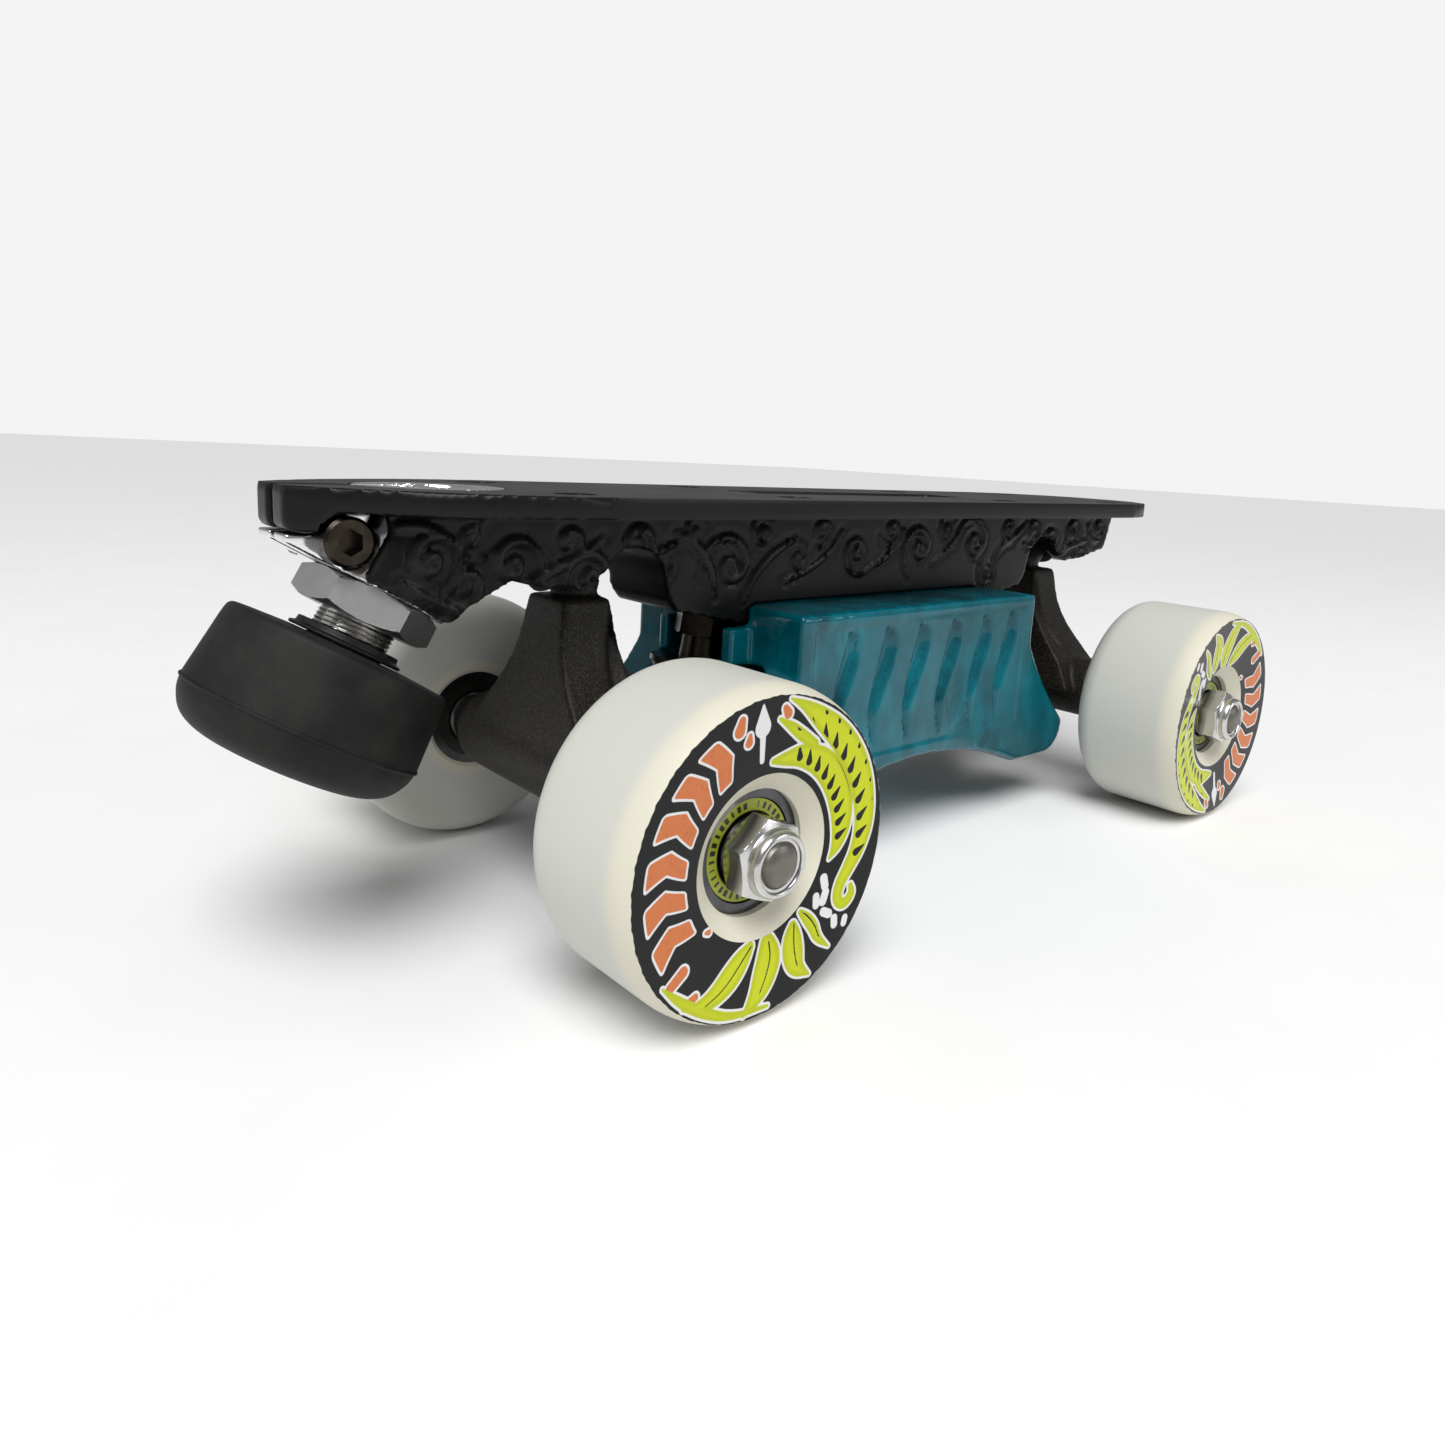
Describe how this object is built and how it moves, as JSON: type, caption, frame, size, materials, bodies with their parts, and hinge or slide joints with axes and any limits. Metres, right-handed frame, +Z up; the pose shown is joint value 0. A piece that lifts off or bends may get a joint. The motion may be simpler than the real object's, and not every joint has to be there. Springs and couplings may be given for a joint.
{
  "type": "roller skate chassis",
  "caption": "Quad roller-skate chassis: slotted boot plate, leaning toe stop, slide block and steering trucks with bearing wheels.",
  "frame": {"origin": "flat top of the plate, where the boot's sole sits, half-way between the two axles", "axes": "+X from the toe to the heel, -Y to the skate's left, +Z up out of the boot face"},
  "size_m": [0.2807, 0.1376, 0.085],
  "materials": {
    "plate_nylon": "semi-gloss black glass-filled nylon",
    "polished_aluminium": "polished",
    "brushed_aluminium": "brushed",
    "black_oxide_steel": "black oxide",
    "bright_steel": "bright, fine machined thread",
    "zinc_steel": "zinc plated",
    "bearing_steel": "ground, dark",
    "powder_coat": "gritty charcoal powder coat",
    "stop_rubber": "satin black, dusty",
    "slide_urethane": "translucent teal cast urethane",
    "insert_brass": "knurled brass",
    "cushion_urethane": "satin elastomer",
    "cup_urethane": "black urethane",
    "wheel_urethane": "cream cast urethane with machined faces",
    "shield_nylon": "lime moulded shield"
  },
  "bodies": {
    "chassis": {"clamp_bolt": "black_oxide_steel", "clamp_nut": "black_oxide_steel", "front_cushion_retainers": "black_oxide_steel", "front_kingpin": "black_oxide_steel", "front_kingpin_lock_nut": "black_oxide_steel", "front_kingpin_nut": "zinc_steel", "front_lower_cushion": "cushion_urethane", "front_pivot_cup": "cup_urethane", "front_upper_cushion": "cushion_urethane", "plate": "plate_nylon", "rear_cushion_retainers": "black_oxide_steel", "rear_kingpin": "black_oxide_steel", "rear_kingpin_lock_nut": "black_oxide_steel", "rear_kingpin_nut": "zinc_steel", "rear_lower_cushion": "cushion_urethane", "rear_pivot_cup": "cup_urethane", "rear_upper_cushion": "cushion_urethane", "slide_block": "slide_urethane", "slide_block_inserts": "insert_brass", "slide_block_screws": "black_oxide_steel", "toe_stop_clamp": "polished_aluminium", "toe_stop_lock_nut": "brushed_aluminium"},
    "toe_stop": {"toe_stop_rubber": "stop_rubber", "toe_stop_stem": "bright_steel", "toe_stop_washer": "black_oxide_steel"},
    "front_truck": {"front_axle": "zinc_steel", "front_axle_nuts": "zinc_steel", "front_axle_washers": "zinc_steel", "front_hanger": "powder_coat", "front_left_bearing_inner_rings": "bearing_steel", "front_left_bearing_spacer": "brushed_aluminium", "front_right_bearing_inner_rings": "bearing_steel", "front_right_bearing_spacer": "brushed_aluminium"},
    "rear_truck": {"rear_axle": "zinc_steel", "rear_axle_nuts": "zinc_steel", "rear_axle_washers": "zinc_steel", "rear_hanger": "powder_coat", "rear_left_bearing_inner_rings": "bearing_steel", "rear_left_bearing_spacer": "brushed_aluminium", "rear_right_bearing_inner_rings": "bearing_steel", "rear_right_bearing_spacer": "brushed_aluminium"},
    "front_left_wheel_set": {"front_left_bearing_balls": "bearing_steel", "front_left_bearing_outer_rings": "bearing_steel", "front_left_bearing_shields": "shield_nylon", "front_left_wheel": "wheel_urethane"},
    "front_right_wheel_set": {"front_right_bearing_balls": "bearing_steel", "front_right_bearing_outer_rings": "bearing_steel", "front_right_bearing_shields": "shield_nylon", "front_right_wheel": "wheel_urethane"},
    "rear_left_wheel_set": {"rear_left_bearing_balls": "bearing_steel", "rear_left_bearing_outer_rings": "bearing_steel", "rear_left_bearing_shields": "shield_nylon", "rear_left_wheel": "wheel_urethane"},
    "rear_right_wheel_set": {"rear_right_bearing_balls": "bearing_steel", "rear_right_bearing_outer_rings": "bearing_steel", "rear_right_bearing_shields": "shield_nylon", "rear_right_wheel": "wheel_urethane"}
  },
  "joints": [
    {"name": "toe_stop_height", "type": "slide", "parent": "chassis", "child": "toe_stop", "axis": [0.4924, 0, 0.8704], "range_m": [-0.008, 0.0025]},
    {"name": "front_steer", "type": "hinge", "parent": "chassis", "child": "front_truck", "pos_m": [-0.09104, 0, -0.01207], "axis": [-0.7278, 0, 0.6858], "range_deg": [-8, 8], "stiffness_Nm_per_rad": 15, "deforming": ["front_upper_cushion", "front_lower_cushion"]},
    {"name": "rear_steer", "type": "hinge", "parent": "chassis", "child": "rear_truck", "pos_m": [0.09104, 0, -0.01207], "axis": [0.7278, 0, 0.6858], "range_deg": [-8, 8], "stiffness_Nm_per_rad": 15, "deforming": ["rear_upper_cushion", "rear_lower_cushion"]},
    {"name": "front_left_roll", "type": "hinge", "parent": "front_truck", "child": "front_left_wheel_set", "pos_m": [-0.087, -0.0503, -0.056], "axis": [0, 1, 0], "continuous": true},
    {"name": "front_right_roll", "type": "hinge", "parent": "front_truck", "child": "front_right_wheel_set", "pos_m": [-0.087, 0.0503, -0.056], "axis": [0, 1, 0], "continuous": true},
    {"name": "rear_left_roll", "type": "hinge", "parent": "rear_truck", "child": "rear_left_wheel_set", "pos_m": [0.087, -0.0503, -0.056], "axis": [0, 1, 0], "continuous": true},
    {"name": "rear_right_roll", "type": "hinge", "parent": "rear_truck", "child": "rear_right_wheel_set", "pos_m": [0.087, 0.0503, -0.056], "axis": [0, 1, 0], "continuous": true}
  ]
}
